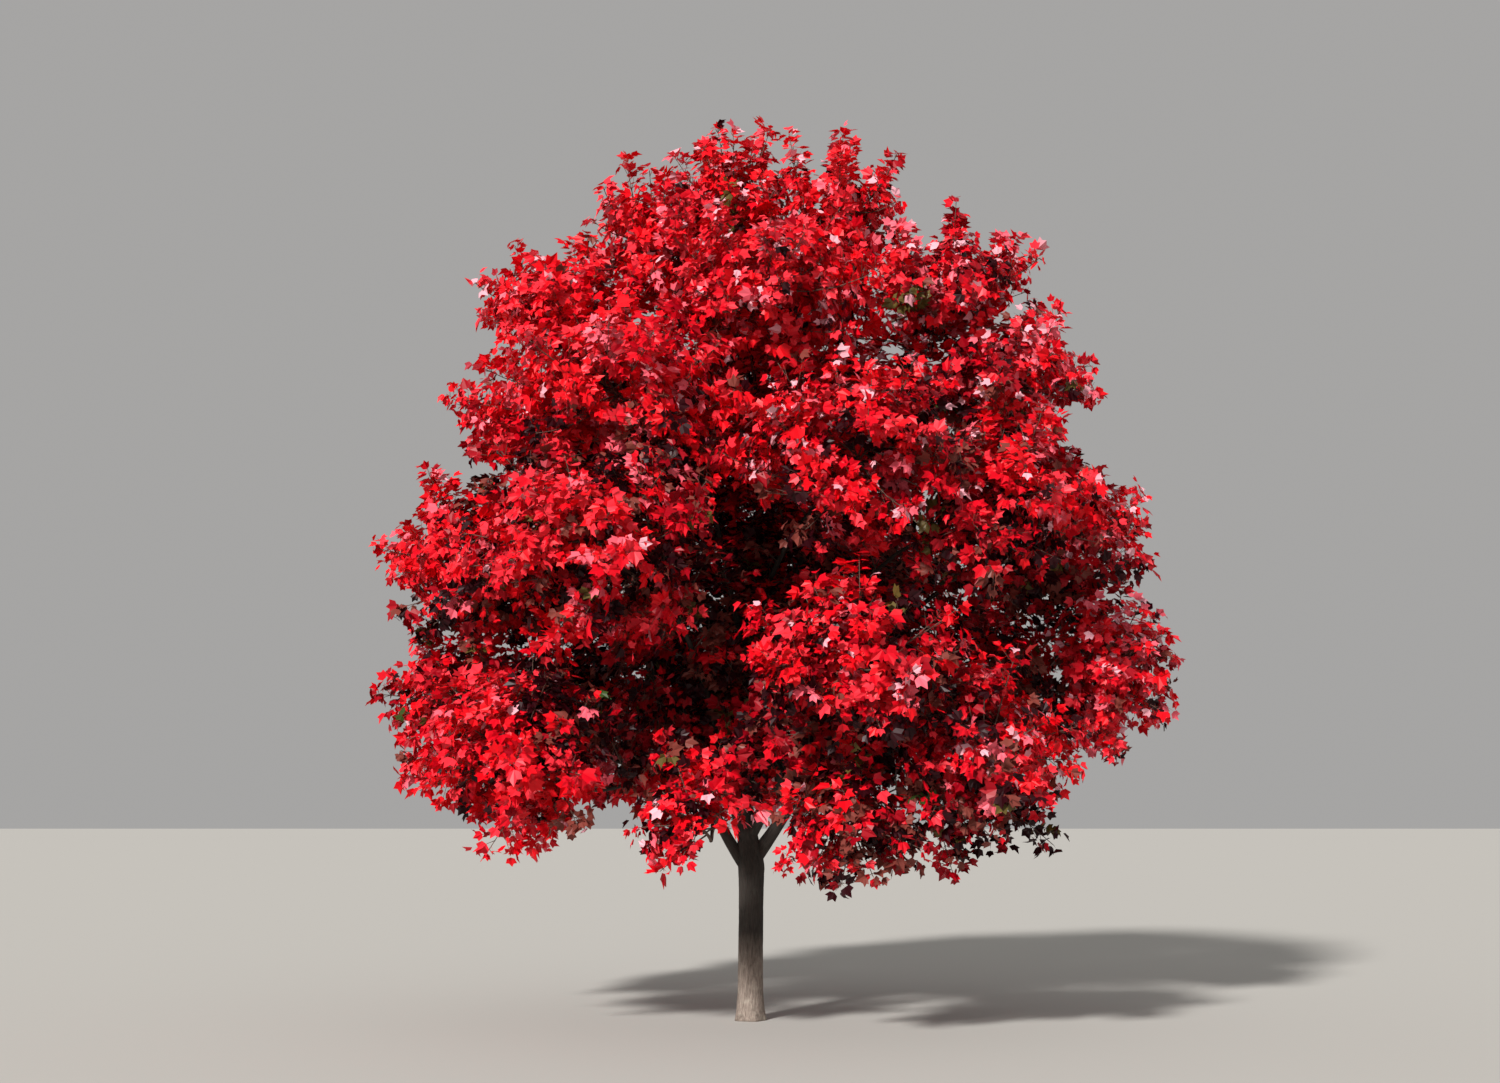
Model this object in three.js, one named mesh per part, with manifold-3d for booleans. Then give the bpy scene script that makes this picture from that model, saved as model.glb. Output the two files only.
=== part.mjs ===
// A young red maple in full autumn colour, rooted in the ground.
// Millimetres, +Z up, the origin in the middle of the flat cut under the trunk.
// -Y is the side that the photo shows. Bearings turn from +X towards +Y.

import * as THREE from 'three';
import { mergeVertices } from 'three/addons/utils/BufferGeometryUtils.js';
import Module from 'manifold-3d';

const wasm = await Module();
wasm.setup();

// Trunk
const TRUNK_HEIGHT = 1150;
const TRUNK_RADIUS = 88;
const TRUNK_TOP = new THREE.Vector3(10, 14, TRUNK_HEIGHT);
const TRUNK_SIDES = 15;
const TRUNK_STEPS = 8;
const TRUNK_STEP_GROWTH = 1.7;
const FLARE_RADIUS = 26;
const FLARE_HEIGHT = 110;
const FLARE_RIDGES = 5;
const FLARE_RIDGE_DEPTH = 0.06;
const FORK_SWELL = 9;
const FORK_SWELL_HEIGHT = 160;

// Leader, the limb that carries the trunk on from its fork to the crest
const LEADER_RADIUS = 74;
const LEADER_TIP_RADIUS = 13;
const LEADER_COLLAR = 0.2;
const LEADER_SINK = 90;
const LEADER_BENDS = [
  new THREE.Vector3(-52, 40, 1720),
  new THREE.Vector3(36, 70, 2800),
  new THREE.Vector3(66, 30, 3900),
  new THREE.Vector3(-50, 0, 4930),
];
const LEADER_SIDES = 9;
const LEADER_STEPS = 9;

// Boughs
const BOUGH_TIP_RADIUS = 12;
const BOUGH_TAPER = 0.013;
const BOUGH_COLLAR = 0.3;
const BOUGH_SHARE_OF_PARENT = 0.6;
const BOUGH_LEAVE_RISE = 1.2;
const BOUGH_ARRIVE_RISE = 0.3;
const BOUGH_BEND = 0.33;
const BOUGH_SIDES = 7;
const BOUGH_STEPS = 4;
const FORK_PLACE = 0.2;
const FORK_SPACING = 0.16;
const COLLAR_FADE = 14;
const TAPER_CURVE = 0.8;
const GAP = 0.3;

// The crown, tier by tier from the ground up. Each mass of foliage has a bearing in
// degrees, the height of its middle and the reach of its furthest tips from the
// trunk's line. Inward, across and tall are the half sizes of its space, which scales
// change from mass to mass. Starts are the heights where the tier's boughs begin. The
// skirt has none, because its boughs fork from those of the belt.
const TIERS = [
  {
    name: 'skirt',
    bearings: [180, 217, 254, 294, 316, 2, 28, 84, 132],
    heights: [2200, 1870, 1410, 1410, 1840, 2480, 2460, 2220, 2250],
    reaches: [2700, 2580, 1700, 2140, 2740, 3130, 2740, 2700, 2680],
    scales: [0.87, 0.86, 0.44, 0.6, 0.92, 0.78, 0.92, 0.92, 0.9],
    inward: 800,
    across: 980,
    tall: 860,
  },
  {
    name: 'belt',
    bearings: [182, 235, 290, 324, 10, 66, 124],
    heights: [3250, 3270, 2420, 3570, 3480, 3240, 3380],
    reaches: [2700, 2680, 2660, 2740, 3030, 2760, 2760],
    scales: [0.96, 0.99, 0.8, 0.9, 0.87, 1, 1],
    inward: 860,
    across: 1100,
    tall: 860,
    starts: [1030, 1420, 1650, 1280, 1110, 1560, 1240],
  },
  {
    name: 'shoulder',
    bearings: [180, 234, 296, 350, 54, 118],
    heights: [4230, 4300, 3860, 4520, 4520, 4380],
    reaches: [2250, 2380, 2460, 2580, 2440, 2400],
    scales: [1, 1, 0.95, 1, 1, 1],
    inward: 860,
    across: 1100,
    tall: 740,
    starts: [2750, 2480, 2850, 2600, 2350, 2980],
  },
  {
    name: 'brow',
    bearings: [190, 276, 345, 80],
    heights: [5060, 5050, 5180, 5320],
    reaches: [2070, 1850, 2230, 1720],
    scales: [0.82, 1, 0.94, 1],
    inward: 860,
    across: 1050,
    tall: 640,
    starts: [3950, 3760, 4060, 3600],
  },
  {
    name: 'crest',
    bearings: [198, 342],
    heights: [5570, 5750],
    reaches: [1350, 1280],
    scales: [1, 1],
    inward: 660,
    across: 760,
    tall: 680,
    starts: [4480, 4640],
  },
];
const TOP_CENTRE = new THREE.Vector3(-120, 0, 5900);
const TOP_ACROSS = 620;
const TOP_TALL = 640;
const MASS_GAP = 4;

// The seat, where a bough ends and its mass begins
const SEAT_INWARD = 0.9;
const SEAT_DROP = 0.42;
const SEAT_SWAY = 0.3;
const SEAT_DEPTH = 0.8;

// Stems, twigs and sprays of leaves
const STEM_RADIUS = 17;
const STEM_TIP_RADIUS = 13;
const STEM_STEPS = 2;
const STEM_REACH = 0.42;
const STEM_RISE = 0.12;
const STEM_KNEE = 0.45;
const TWIG_RADIUS = 6;
const TWIG_TIP_RADIUS = 2.5;
const TWIG_SIDES = 3;
const TWIG_SINK = 0.3;
const TWIG_SWEEP = 0.62;
const TWIG_PLACES = [0.12, 0.97];
const SHOOTS = 10;
const SHOOT_CAP = 0.4;
const SHOOT_REACH = 0.985;
const SPRAY_LENGTH = 620;
const SPRAY_SHARE_OF_SHOOT = 0.78;
const SPRAY_WIDTH = 1.35;
const SPRAY_SHOULDER = -0.1;
const SPRAY_THICKNESS = 0.02;
const SPRAY_SIZES = [1, 0.85, 0.7];
const SPRAY_TILT = 2.2;
const SPRAY_FACING = 0.5;
const SIDE_LENGTH = 680;
const SIDE_ANGLE = 1.02;
const SIDE_SETBACK = 20;
const LIMB_CLEARANCE = 15;
const SAMPLE_SPACING = 30;
const FIRST_SEED = 107;
const GOLDEN_ANGLE = Math.PI * (3 - Math.sqrt(5));

const BARK = { color: '#6f6256', roughness: 0.92, metalness: 0 };
const FOLIAGE = { color: '#b01420', roughness: 0.7, metalness: 0 };

const UP = new THREE.Vector3(0, 0, 1);
const WELD_STEP = 0.001;
const SLIVER_WIDTH = 0.02;
const MERGE_STEP = 0.01;

// Joining and cutting

function solidOf(geometry) {
  geometry.deleteAttribute('normal');
  geometry.deleteAttribute('uv');
  const merged = mergeVertices(geometry, WELD_STEP);
  return new wasm.Manifold(new wasm.Mesh({
    numProp: 3,
    vertProperties: Float32Array.from(merged.attributes.position.array),
    triVerts: Uint32Array.from(merged.index.array),
  }));
}

// Drops the triangles that merging has closed up to a line.
function withoutFlatTriangles(geometry) {
  const corners = Array.from(geometry.index.array);
  const kept = [];
  for (let first = 0; first < corners.length; first += 3) {
    const triangle = corners.slice(first, first + 3);
    if (new Set(triangle).size === 3) {
      kept.push(...triangle);
    }
  }
  geometry.setIndex(kept);
  return geometry;
}

// Flat faces that were split by the joining and cutting are made whole again, and
// corners left almost on one point become one.
function geometryOf(solid) {
  const mesh = solid.asOriginal().simplify(SLIVER_WIDTH).getMesh();
  const geometry = new THREE.BufferGeometry();
  geometry.setAttribute('position', new THREE.BufferAttribute(Float32Array.from(mesh.vertProperties), 3));
  geometry.setIndex(new THREE.BufferAttribute(Uint32Array.from(mesh.triVerts), 1));
  const merged = withoutFlatTriangles(mergeVertices(geometry, MERGE_STEP));
  merged.computeVertexNormals();
  return merged;
}

// The one joined body of a solid: loose scraps and sealed hollows are dropped.
function largestBody(solid) {
  return solid.decompose().reduce((best, body) => (body.volume() > best.volume() ? body : best));
}

function crossesAny(solid, pieces) {
  return pieces.some((piece) => !solid.intersect(piece.solid).isEmpty());
}

// An even, repeatable number from 0 to 1 for each pair of whole numbers, from the
// far decimals of a sine.
function chance(seed, index) {
  const wave = Math.sin(seed * 127.1 + index * 311.7 + 74.7) * 43758.5453;
  return wave - Math.floor(wave);
}

// Trunk and limbs

function trunkRadius(height, angle) {
  const flare = Math.exp(-height / FLARE_HEIGHT);
  const ridges = 1 + FLARE_RIDGE_DEPTH * flare * Math.cos(FLARE_RIDGES * angle);
  const swell = FORK_SWELL * Math.exp(-(((height - TRUNK_HEIGHT) / FORK_SWELL_HEIGHT) ** 2));
  return (TRUNK_RADIUS + FLARE_RADIUS * flare + swell) * ridges;
}

// The trunk leans a little and is wide at the root flare and under the fork.
function trunkGeometry(extra) {
  const geometry = new THREE.CylinderGeometry(1, 1, 1, TRUNK_SIDES, TRUNK_STEPS);
  const position = geometry.attributes.position;
  for (let i = 0; i < position.count; i += 1) {
    const place = (position.getY(i) + 0.5) ** TRUNK_STEP_GROWTH;
    const height = place * TRUNK_HEIGHT;
    const x = position.getX(i);
    const y = -position.getZ(i);
    const radius = trunkRadius(height, Math.atan2(y, x)) + extra;
    position.setXYZ(i, place * TRUNK_TOP.x + x * radius, place * TRUNK_TOP.y + y * radius, height);
  }
  return geometry;
}

// A closed tube round a curve, its radius given by the place along it.
function tubeAlong(curve, radiusAt, sides, steps) {
  const geometry = new THREE.CylinderGeometry(1, 1, 1, sides, steps);
  const frames = curve.computeFrenetFrames(steps, false);
  const middles = curve.getSpacedPoints(steps);
  const position = geometry.attributes.position;
  const point = new THREE.Vector3();
  for (let i = 0; i < position.count; i += 1) {
    const place = position.getY(i) + 0.5;
    const step = Math.round(place * steps);
    const radius = radiusAt(place);
    point.copy(middles[step]);
    point.addScaledVector(frames.binormals[step], position.getX(i) * radius);
    point.addScaledVector(frames.normals[step], position.getZ(i) * radius);
    position.setXYZ(i, point.x, point.y, point.z);
  }
  return geometry;
}

// Points along a limb, each with the radius there, which twigs and sprays keep clear of.
function samplesOf(curve, radiusAt) {
  const count = Math.ceil(curve.getLength() / SAMPLE_SPACING);
  return curve.getSpacedPoints(count).map((point, i) => ({ point, radius: radiusAt(i / count) }));
}

function makeLimb(curve, baseRadius, tipRadius, collar, sides, steps) {
  const radiusAt = (place) => {
    const taper = baseRadius + (tipRadius - baseRadius) * place ** TAPER_CURVE;
    return taper * (1 + collar * Math.exp(-place * COLLAR_FADE));
  };
  return {
    curve,
    radiusAt,
    samples: samplesOf(curve, radiusAt),
    solid: solidOf(tubeAlong(curve, radiusAt, sides, steps)),
    keepOff: solidOf(tubeAlong(curve, (place) => radiusAt(place) + GAP, sides, steps)),
  };
}

function placeAtHeight(curve, height) {
  let low = 0;
  let high = 1;
  for (let i = 0; i < 24; i += 1) {
    const middle = (low + high) / 2;
    if (curve.getPointAt(middle).z < height) {
      low = middle;
    } else {
      high = middle;
    }
  }
  return low;
}

// A bough climbs out of its parent and flattens towards its seat.
function boughCurve(start, seat) {
  const span = start.distanceTo(seat);
  const outward = new THREE.Vector3(seat.x - start.x, seat.y - start.y, 0).normalize();
  const leave = outward.clone().addScaledVector(UP, BOUGH_LEAVE_RISE).normalize();
  const arrive = outward.clone().addScaledVector(UP, BOUGH_ARRIVE_RISE).normalize();
  const first = start.clone().addScaledVector(leave, span * BOUGH_BEND);
  const second = seat.clone().addScaledVector(arrive, -span * BOUGH_BEND);
  return new THREE.CubicBezierCurve3(start, first, second, seat);
}

function makeBough(parent, place, space, seed, cutters) {
  const curve = boughCurve(parent.curve.getPointAt(place), seatOf(space, seed));
  const fullRadius = BOUGH_TIP_RADIUS + curve.getLength() * BOUGH_TAPER;
  const baseRadius = Math.min(fullRadius, parent.radiusAt(place) * BOUGH_SHARE_OF_PARENT);
  const bough = makeLimb(curve, baseRadius, BOUGH_TIP_RADIUS, BOUGH_COLLAR, BOUGH_SIDES, BOUGH_STEPS);
  bough.solid = largestBody(cutters.reduce((solid, cutter) => solid.subtract(cutter), bough.solid));
  return Object.assign(bough, { space, seed });
}

// Spaces of the masses

// A space is an ellipsoid with its own outward, sideways and upright axes.
function makeSpace(name, centre, outward, upright, sizes) {
  const sideways = new THREE.Vector3().crossVectors(upright, outward);
  return { name, centre, axes: [outward, sideways, upright], sizes, walls: [] };
}

function tierSpaces(tier) {
  return tier.bearings.map((bearing, i) => {
    const angle = THREE.MathUtils.degToRad(bearing);
    const outward = new THREE.Vector3(Math.cos(angle), Math.sin(angle), 0);
    const sizes = [tier.inward, tier.across, tier.tall].map((size) => size * tier.scales[i]);
    const centre = outward.clone().multiplyScalar(tier.reaches[i] - sizes[0]).setZ(tier.heights[i]);
    return makeSpace(`${tier.name}_${i + 1}`, centre, outward, UP, sizes);
  });
}

function sizeTowards(space, direction) {
  return 1 / Math.hypot(...space.axes.map((axis, i) => direction.dot(axis) / space.sizes[i]));
}

// Flat walls part each space from its neighbours, nearer to the smaller of the two.
function wallOff(spaces) {
  for (const space of spaces) {
    for (const other of spaces.filter((candidate) => candidate !== space)) {
      const towards = new THREE.Vector3().subVectors(other.centre, space.centre);
      const distance = towards.length();
      towards.divideScalar(distance);
      const own = sizeTowards(space, towards);
      const others = sizeTowards(other, towards);
      if (own + others > distance) {
        space.walls.push({ towards, reach: (distance * own) / (own + others) - MASS_GAP / 2 });
      }
    }
  }
}

function isInside(space, point) {
  const offset = new THREE.Vector3().subVectors(point, space.centre);
  const parts = space.axes.map((axis, i) => offset.dot(axis) / space.sizes[i]);
  return Math.hypot(...parts) < 1 && space.walls.every((wall) => offset.dot(wall.towards) < wall.reach);
}

// How far a ray from the middle of a space runs before it meets the edge or a wall.
function roomTowards(space, direction) {
  const facing = space.walls.filter((wall) => direction.dot(wall.towards) > 0);
  const rooms = facing.map((wall) => wall.reach / direction.dot(wall.towards));
  return Math.min(sizeTowards(space, direction), ...rooms);
}

function seatOf(space, seed) {
  const direction = space.axes[0].clone().multiplyScalar(-SEAT_INWARD);
  direction.addScaledVector(space.axes[1], (chance(seed, 3) - 0.5) * SEAT_SWAY);
  direction.addScaledVector(space.axes[2], -SEAT_DROP).normalize();
  return space.centre.clone().addScaledVector(direction, roomTowards(space, direction) * SEAT_DEPTH);
}

// Twigs and sprays

// A spray of leaves is a flat blade with a root, a tip and two side corners.
function makeSpray(root, along, facing, length) {
  const across = new THREE.Vector3().crossVectors(facing, along).normalize();
  const normal = new THREE.Vector3().crossVectors(along, across);
  const half = new THREE.Vector3(1, SPRAY_WIDTH, SPRAY_THICKNESS).multiplyScalar(length / 2);
  const place = new THREE.Matrix4().makeBasis(along, across, normal);
  place.setPosition(root.clone().addScaledVector(along, half.x));
  const corners = [[-1, 0], [1, 0], [SPRAY_SHOULDER, 1], [SPRAY_SHOULDER, -1]].map(([x, y]) => (
    new THREE.Vector3(x * half.x, y * half.y, 0).applyMatrix4(place)
  ));
  return { half, place, corners };
}

// The spray's solid is an octahedron, its widest part moved back towards the root.
function spraySolid(spray) {
  const geometry = new THREE.OctahedronGeometry(1);
  const position = geometry.attributes.position;
  for (let i = 0; i < position.count; i += 1) {
    if (Math.abs(position.getX(i)) < 0.5) {
      position.setX(i, SPRAY_SHOULDER);
    }
  }
  geometry.scale(spray.half.x, spray.half.y, spray.half.z);
  return solidOf(geometry.applyMatrix4(spray.place));
}

function sprayIsClear(spray, space, limbSamples) {
  if (!spray.corners.every((corner) => isInside(space, corner))) {
    return false;
  }
  const back = spray.place.clone().invert();
  const local = new THREE.Vector3();
  return !limbSamples.some(({ point, radius }) => {
    const margin = radius + LIMB_CLEARANCE;
    local.copy(point).applyMatrix4(back);
    return Math.abs(local.x) < spray.half.x + margin
      && Math.abs(local.y) < spray.half.y + margin
      && Math.abs(local.z) < spray.half.z + margin;
  });
}

// The first size of spray that fits its space and crosses no other, or none.
function fittedSpray(sprayOfSize, space, limbSamples, grown) {
  for (const size of SPRAY_SIZES) {
    const spray = sprayOfSize(size);
    if (sprayIsClear(spray, space, limbSamples)) {
      spray.solid = spraySolid(spray);
      if (!crossesAny(spray.solid, grown)) {
        return spray;
      }
    }
  }
  return null;
}

function twigIsClear(from, to, space, limbSamples) {
  const line = new THREE.Line3(from, to);
  const nearest = new THREE.Vector3();
  return isInside(space, to) && !limbSamples.some(({ point, radius }) => {
    line.closestPointToPoint(point, true, nearest);
    return nearest.distanceTo(point) < radius + TWIG_RADIUS + LIMB_CLEARANCE;
  });
}

// A three-sided twig, one of its edges on the side that its leaves face.
function twigSolid(from, to, facing) {
  const length = from.distanceTo(to);
  const geometry = new THREE.CylinderGeometry(TWIG_TIP_RADIUS, TWIG_RADIUS, length, TWIG_SIDES, 1);
  const along = new THREE.Vector3().subVectors(to, from).normalize();
  const across = new THREE.Vector3().crossVectors(along, facing).normalize();
  const normal = new THREE.Vector3().crossVectors(across, along);
  const place = new THREE.Matrix4().makeBasis(across, along, normal);
  place.setPosition(new THREE.Vector3().lerpVectors(from, to, 0.5));
  return solidOf(geometry.applyMatrix4(place));
}

// The shoots' directions are spread evenly over the outer part of the space.
function shootDirection(space, index, seed) {
  const forward = 1 - ((1 + SHOOT_CAP) * (index + 0.5)) / SHOOTS;
  const ring = Math.sqrt(1 - forward * forward);
  const turn = index * GOLDEN_ANGLE + seed;
  const parts = [forward, ring * Math.cos(turn), ring * Math.sin(turn)];
  const direction = new THREE.Vector3();
  space.axes.forEach((axis, i) => direction.addScaledVector(axis, parts[i] * space.sizes[i]));
  return direction.normalize();
}

// A shoot's line runs from the stem to its target on the edge of the space.
function shootLine(space, stem, index, seed) {
  const direction = shootDirection(space, index, seed);
  const reach = roomTowards(space, direction) * SHOOT_REACH;
  const target = space.centre.clone().addScaledVector(direction, reach);
  const whole = new THREE.Vector3().subVectors(stem.v2, stem.v0);
  const along = new THREE.Vector3().subVectors(target, stem.v0).dot(whole) / whole.lengthSq();
  const start = stem.getPointAt(THREE.MathUtils.clamp(along * TWIG_SWEEP, ...TWIG_PLACES));
  const axis = new THREE.Vector3().subVectors(target, start).normalize();
  const tilt = (chance(seed, index) - 0.5) * SPRAY_TILT;
  const facing = UP.clone().multiplyScalar(Math.cos(tilt));
  facing.addScaledVector(new THREE.Vector3().crossVectors(axis, UP).normalize(), Math.sin(tilt));
  facing.addScaledVector(direction, SPRAY_FACING);
  return { start, target, axis, facing };
}

// One shoot: a twig, a spray at its end and a pair of sprays behind that.
function growShoot(line, space, limbSamples, grown) {
  const { start, target, axis, facing } = line;
  const length = Math.min(SPRAY_LENGTH, start.distanceTo(target) * SPRAY_SHARE_OF_SHOOT);
  const tipSpray = fittedSpray((size) => (
    makeSpray(target.clone().addScaledVector(axis, -length * size), axis, facing, length * size)
  ), space, limbSamples, grown);
  const tipLength = tipSpray ? tipSpray.half.x * 2 : length / 2;
  const twigEnd = target.clone().addScaledVector(axis, -tipLength * (1 - TWIG_SINK));
  const twig = { solid: twigSolid(start, twigEnd, facing) };
  if (!twigIsClear(start, twigEnd, space, limbSamples) || crossesAny(twig.solid, grown)) {
    return [];
  }
  const sprays = tipSpray ? [tipSpray] : [];
  const swing = new THREE.Vector3().crossVectors(facing, axis).normalize();
  for (const side of [-1, 1]) {
    const lean = axis.clone().multiplyScalar(Math.cos(SIDE_ANGLE));
    lean.addScaledVector(swing, side * Math.sin(SIDE_ANGLE));
    const node = target.clone().addScaledVector(axis, -tipLength - SIDE_SETBACK * (2 + side));
    const spray = fittedSpray((size) => (
      makeSpray(node, lean, axis, SIDE_LENGTH * size)
    ), space, limbSamples, [...grown, ...sprays]);
    if (spray) {
      sprays.push(spray);
    }
  }
  return sprays.length > 0 ? [...sprays, twig] : [];
}

// One mass: a stem from its bough's tip, and shoots with their sprays to all sides.
function growMass(space, limbCurve, seed, limbSamples) {
  const direction = limbCurve.getTangentAt(1);
  const seat = limbCurve.getPointAt(1).addScaledVector(direction, GAP);
  const end = space.centre.clone().addScaledVector(space.axes[0], space.sizes[0] * STEM_REACH);
  end.addScaledVector(space.axes[2], space.sizes[2] * STEM_RISE);
  const knee = seat.clone().addScaledVector(direction, seat.distanceTo(end) * STEM_KNEE);
  const stem = new THREE.QuadraticBezierCurve3(seat, knee, end);
  const stemRadius = (place) => STEM_RADIUS + (STEM_TIP_RADIUS - STEM_RADIUS) * place;
  const stemSolid = solidOf(tubeAlong(stem, stemRadius, TWIG_SIDES, STEM_STEPS));
  const grown = [];
  for (let index = 0; index < SHOOTS; index += 1) {
    grown.push(...growShoot(shootLine(space, stem, index, seed), space, limbSamples, grown));
  }
  return largestBody(wasm.Manifold.union([stemSolid, ...grown.map((piece) => piece.solid)]));
}

// The tree

const tree = new THREE.Group();
tree.name = 'red_maple_tree';

function addMesh(name, solid, finish) {
  const mesh = new THREE.Mesh(geometryOf(solid), new THREE.MeshStandardMaterial(finish));
  mesh.name = name;
  tree.add(mesh);
}

const trunkCurve = new THREE.LineCurve3(new THREE.Vector3(), TRUNK_TOP);
const trunk = {
  curve: trunkCurve,
  radiusAt: () => TRUNK_RADIUS,
  samples: samplesOf(trunkCurve, () => TRUNK_RADIUS + FORK_SWELL),
  solid: solidOf(trunkGeometry(0)),
  keepOff: solidOf(trunkGeometry(GAP).translate(0, 0, GAP)),
};
addMesh('trunk', trunk.solid, BARK);

const leaderFoot = TRUNK_TOP.clone().addScaledVector(UP, -LEADER_SINK);
const leaderCurve = new THREE.CatmullRomCurve3([leaderFoot, ...LEADER_BENDS]);
const leaderRadii = [LEADER_RADIUS, LEADER_TIP_RADIUS];
const leader = makeLimb(leaderCurve, ...leaderRadii, LEADER_COLLAR, LEADER_SIDES, LEADER_STEPS);
addMesh('leader', largestBody(leader.solid.subtract(trunk.keepOff)), BARK);

const topSizes = [TOP_TALL, TOP_ACROSS, TOP_ACROSS];
const topSpace = makeSpace('top', TOP_CENTRE, UP, new THREE.Vector3(0, -1, 0), topSizes);
const crown = TIERS.map((tier) => tierSpaces(tier));
wallOff([...crown.flat(), topSpace]);

// Boughs of the belt and above leave the trunk or the leader.
const boughs = [];
const stemCutters = [trunk.keepOff, leader.keepOff];
crown.slice(1).forEach((spaces, row) => {
  spaces.forEach((space, i) => {
    const height = TIERS[row + 1].starts[i];
    const parent = height < TRUNK_HEIGHT ? trunk : leader;
    const place = placeAtHeight(parent.curve, height);
    boughs.push(makeBough(parent, place, space, FIRST_SEED + boughs.length, stemCutters));
  });
});

// Boughs of the skirt fork from the nearest bough of the belt.
const beltBoughs = boughs.slice(0, crown[1].length);
const forks = beltBoughs.map(() => 0);
crown[0].forEach((space) => {
  const nearness = beltBoughs.map((bough) => space.axes[0].dot(bough.space.axes[0]));
  const nearest = nearness.indexOf(Math.max(...nearness));
  const parent = beltBoughs[nearest];
  const place = FORK_PLACE + FORK_SPACING * forks[nearest];
  const cutters = [parent.keepOff, ...stemCutters];
  boughs.push(makeBough(parent, place, space, FIRST_SEED + boughs.length, cutters));
  forks[nearest] += 1;
});
boughs.forEach((bough) => addMesh(`bough_${bough.space.name}`, bough.solid, BARK));

// Foliage: each bough carries one mass, and the leader carries the one at the top.
const limbSamples = [trunk, leader, ...boughs].flatMap((limb) => limb.samples);
boughs.forEach((bough) => {
  const mass = growMass(bough.space, bough.curve, bough.seed, limbSamples);
  addMesh(`foliage_${bough.space.name}`, mass, FOLIAGE);
});
const topSeed = FIRST_SEED + boughs.length;
addMesh('foliage_top', growMass(topSpace, leader.curve, topSeed, limbSamples), FOLIAGE);

export default tree;
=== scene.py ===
"""A young red maple in full autumn colour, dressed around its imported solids.

Metres, +Z up, the origin in the middle of the flat cut under the trunk. The side that
the photo shows faces -Y. The limbs and the masses of foliage follow the same rule as
the solids, and each mass is carried on here to its fine twigs and its single leaves.
"""

import bpy
import numpy as np
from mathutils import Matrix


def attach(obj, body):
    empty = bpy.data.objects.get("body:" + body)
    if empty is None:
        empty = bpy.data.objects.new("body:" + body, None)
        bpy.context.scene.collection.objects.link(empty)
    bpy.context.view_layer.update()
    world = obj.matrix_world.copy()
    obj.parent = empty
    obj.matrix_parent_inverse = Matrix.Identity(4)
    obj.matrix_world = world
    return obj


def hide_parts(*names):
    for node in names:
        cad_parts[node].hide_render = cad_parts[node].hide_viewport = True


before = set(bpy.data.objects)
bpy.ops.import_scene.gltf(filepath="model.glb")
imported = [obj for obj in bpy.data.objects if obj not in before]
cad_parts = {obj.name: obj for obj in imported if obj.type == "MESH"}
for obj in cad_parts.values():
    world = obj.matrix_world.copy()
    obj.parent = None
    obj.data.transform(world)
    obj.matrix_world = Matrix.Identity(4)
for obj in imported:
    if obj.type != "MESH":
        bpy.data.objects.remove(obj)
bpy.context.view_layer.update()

# Trunk and leader, as in the solids
TRUNK_HEIGHT = 1.15
TRUNK_RADIUS = 0.088
TRUNK_TOP = np.array([0.010, 0.014, TRUNK_HEIGHT])
FLARE_RADIUS = 0.026
FLARE_HEIGHT = 0.11
FLARE_RIDGES = 5
FLARE_RIDGE_DEPTH = 0.06
FORK_SWELL = 0.009
FORK_SWELL_HEIGHT = 0.16
LEADER_RADIUS = 0.074
LEADER_TIP_RADIUS = 0.013
LEADER_COLLAR = 0.2
LEADER_SINK = 0.09
LEADER_BENDS = [
    (-0.052, 0.040, 1.72),
    (0.036, 0.070, 2.80),
    (0.066, 0.030, 3.90),
    (-0.050, 0, 4.93),
]

# Boughs, as in the solids
BOUGH_TIP_RADIUS = 0.012
BOUGH_TAPER = 0.013
BOUGH_COLLAR = 0.3
BOUGH_SHARE_OF_PARENT = 0.6
BOUGH_LEAVE_RISE = 1.2
BOUGH_ARRIVE_RISE = 0.3
BOUGH_BEND = 0.33
FORK_PLACE = 0.2
FORK_SPACING = 0.16
COLLAR_FADE = 14
TAPER_CURVE = 0.8

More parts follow.
